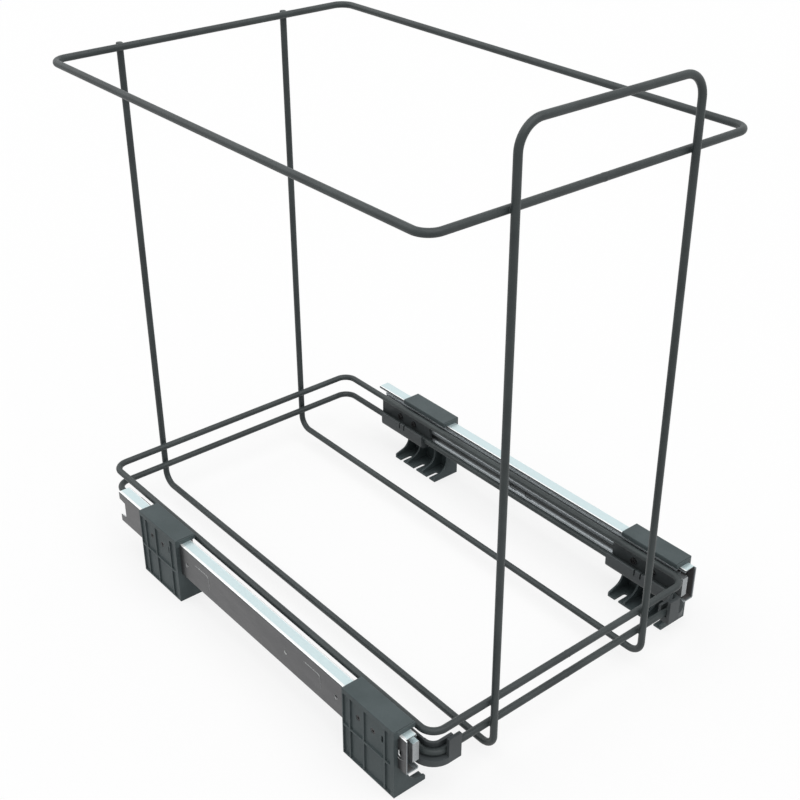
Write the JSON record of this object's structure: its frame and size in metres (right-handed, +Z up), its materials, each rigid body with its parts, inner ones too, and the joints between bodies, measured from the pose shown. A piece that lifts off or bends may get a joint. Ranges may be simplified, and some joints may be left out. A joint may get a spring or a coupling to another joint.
{
  "type": "cabinet waste sorter",
  "caption": "Pull-out wire basket for waste bins on ball bearing slides, with a bent wire handle and plastic brackets that screw to a cabinet floor",
  "frame": {"origin": "on the cabinet floor, under the middle of the whole object's box with the basket pushed in", "axes": "+X to the right seen from the handle, +Y from the handle to the back of the cabinet, +Z up; the basket pulls out along -Y"},
  "size_m": [0.3544, 0.52, 0.5454],
  "materials": {
    "coated_wire": "dark grey powder coat, fine satin",
    "zinc_steel": "bright zinc plated rolled strip",
    "zinc_block": "plated zinc casting",
    "cage_steel": "plain thin strip",
    "ball_steel": "polished, lightly greased",
    "bracket_plastic": "moulded, fine spark texture",
    "carrier_plastic": "moulded, fine spark texture",
    "screw_steel": "black zinc"
  },
  "bodies": {
    "base": {"fixed_profile_left": "zinc_steel", "front_bracket_left": "bracket_plastic", "rear_bracket_left": "bracket_plastic", "bracket_screws_left": "screw_steel", "fixed_profile_right": "zinc_steel", "front_bracket_right": "bracket_plastic", "rear_bracket_right": "bracket_plastic", "bracket_screws_right": "screw_steel"},
    "basket": {"rim_ring": "coated_wire", "upper_base_ring": "coated_wire", "lower_base_ring": "coated_wire", "handle_frame": "coated_wire", "moving_profile_left": "zinc_steel", "end_block_left": "zinc_block", "front_carrier_left": "carrier_plastic", "rear_carrier_left": "carrier_plastic", "carrier_screws_left": "screw_steel", "moving_profile_right": "zinc_steel", "end_block_right": "zinc_block", "front_carrier_right": "carrier_plastic", "rear_carrier_right": "carrier_plastic", "carrier_screws_right": "screw_steel"},
    "middle_left": {"middle_profile_left": "zinc_steel"},
    "outer_balls_left": {"outer_cage_left": "cage_steel", "outer_balls_left": "ball_steel"},
    "inner_balls_left": {"inner_cage_left": "cage_steel", "inner_balls_left": "ball_steel"},
    "middle_right": {"middle_profile_right": "zinc_steel"},
    "outer_balls_right": {"outer_cage_right": "cage_steel", "outer_balls_right": "ball_steel"},
    "inner_balls_right": {"inner_cage_right": "cage_steel", "inner_balls_right": "ball_steel"}
  },
  "joints": [
    {"name": "basket_slide", "type": "slide", "parent": "base", "child": "basket", "axis": [0, -1, 0], "range_m": [0, 0.44]},
    {"name": "outer_balls_left_slide", "type": "slide", "parent": "base", "child": "outer_balls_left", "axis": [0, -1, 0], "range_m": [0, 0.11]},
    {"name": "middle_left_slide", "type": "slide", "parent": "base", "child": "middle_left", "axis": [0, -1, 0], "range_m": [0, 0.22]},
    {"name": "inner_balls_left_slide", "type": "slide", "parent": "base", "child": "inner_balls_left", "axis": [0, -1, 0], "range_m": [0, 0.33]},
    {"name": "outer_balls_right_slide", "type": "slide", "parent": "base", "child": "outer_balls_right", "axis": [0, -1, 0], "range_m": [0, 0.11]},
    {"name": "middle_right_slide", "type": "slide", "parent": "base", "child": "middle_right", "axis": [0, -1, 0], "range_m": [0, 0.22]},
    {"name": "inner_balls_right_slide", "type": "slide", "parent": "base", "child": "inner_balls_right", "axis": [0, -1, 0], "range_m": [0, 0.33]}
  ],
  "couplings": [
    {"joint": "outer_balls_left_slide", "follows": "basket_slide", "ratio": 0.25},
    {"joint": "middle_left_slide", "follows": "basket_slide", "ratio": 0.5},
    {"joint": "inner_balls_left_slide", "follows": "basket_slide", "ratio": 0.75},
    {"joint": "outer_balls_right_slide", "follows": "basket_slide", "ratio": 0.25},
    {"joint": "middle_right_slide", "follows": "basket_slide", "ratio": 0.5},
    {"joint": "inner_balls_right_slide", "follows": "basket_slide", "ratio": 0.75}
  ]
}
